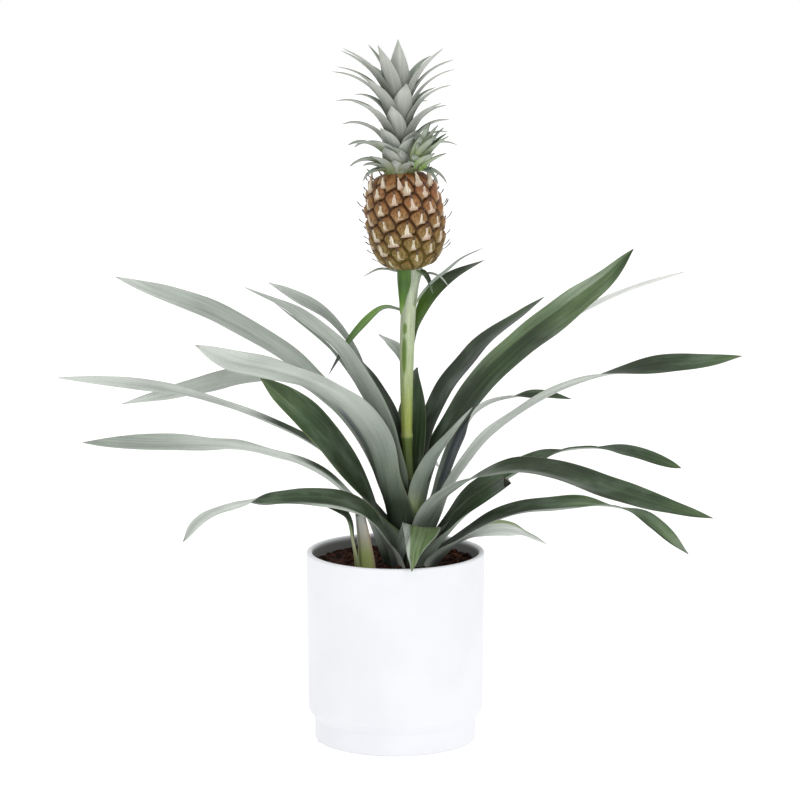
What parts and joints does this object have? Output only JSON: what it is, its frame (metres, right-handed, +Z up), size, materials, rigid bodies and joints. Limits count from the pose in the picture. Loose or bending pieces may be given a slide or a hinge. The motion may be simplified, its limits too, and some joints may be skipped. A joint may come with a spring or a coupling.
{
  "type": "potted pineapple plant",
  "caption": "Ornamental pineapple plant with a rosette of long arching leaves and one small crowned fruit on a tall stalk, standing in a plain white ceramic cover pot",
  "frame": {"origin": "centre of the pot's flat foot, on the surface that it stands on", "axes": "+Z up along the pot's axis, +X to the right and +Y to the back as seen from the front"},
  "size_m": [0.5402, 0.3859, 0.552],
  "materials": {
    "ceramic": "matt white glaze",
    "growing_medium": "fibrous dark red-brown peat and coir",
    "stem": "green-brown, rough",
    "fruit_stalk": "smooth pale green to yellow-green",
    "fruit_rind": "waxy orange-brown to olive rind of raised eyes",
    "leaf": "dark green above, silvery grey-green with fine lengthwise streaks below",
    "old_leaf": "pale yellow-green, drying brown at its edges",
    "stalk_leaf": "bright green to dark green",
    "crown_leaf": "silvery grey-green, matt",
    "slip_leaf": "light green, matt"
  },
  "bodies": {
    "root": {"pot": "ceramic", "soil": "growing_medium", "stem_base": "stem", "fruit_stalk": "fruit_stalk", "fruit": "fruit_rind", "leaf_01": "leaf", "leaf_02": "leaf", "leaf_03": "leaf", "leaf_04": "leaf", "leaf_05": "leaf", "leaf_06": "leaf", "leaf_07": "leaf", "leaf_08": "leaf", "leaf_09": "leaf", "leaf_10": "leaf", "leaf_11": "leaf", "leaf_12": "leaf", "leaf_13": "leaf", "leaf_14": "leaf", "leaf_15": "leaf", "leaf_16": "leaf", "leaf_17": "leaf", "leaf_18": "leaf", "leaf_19": "leaf", "leaf_20": "leaf", "leaf_21": "leaf", "leaf_22": "leaf", "leaf_23": "leaf", "leaf_24": "leaf", "leaf_25": "leaf", "leaf_26": "leaf", "old_leaf_base": "old_leaf", "stalk_leaf_1": "stalk_leaf", "stalk_leaf_2": "stalk_leaf", "stalk_leaf_3": "stalk_leaf", "stalk_leaf_4": "stalk_leaf", "stalk_leaf_5": "stalk_leaf", "stalk_leaf_6": "stalk_leaf", "stalk_leaf_7": "stalk_leaf", "crown_core": "crown_leaf", "crown_leaf_01": "crown_leaf", "crown_leaf_02": "crown_leaf", "crown_leaf_03": "crown_leaf", "crown_leaf_04": "crown_leaf", "crown_leaf_05": "crown_leaf", "crown_leaf_06": "crown_leaf", "crown_leaf_07": "crown_leaf", "crown_leaf_08": "crown_leaf", "crown_leaf_09": "crown_leaf", "crown_leaf_10": "crown_leaf", "crown_leaf_11": "crown_leaf", "crown_leaf_12": "crown_leaf", "crown_leaf_13": "crown_leaf", "crown_leaf_14": "crown_leaf", "crown_leaf_15": "crown_leaf", "crown_leaf_16": "crown_leaf", "crown_leaf_17": "crown_leaf", "crown_leaf_18": "crown_leaf", "crown_leaf_19": "crown_leaf", "slip": "slip_leaf"}
  },
  "joints": []
}
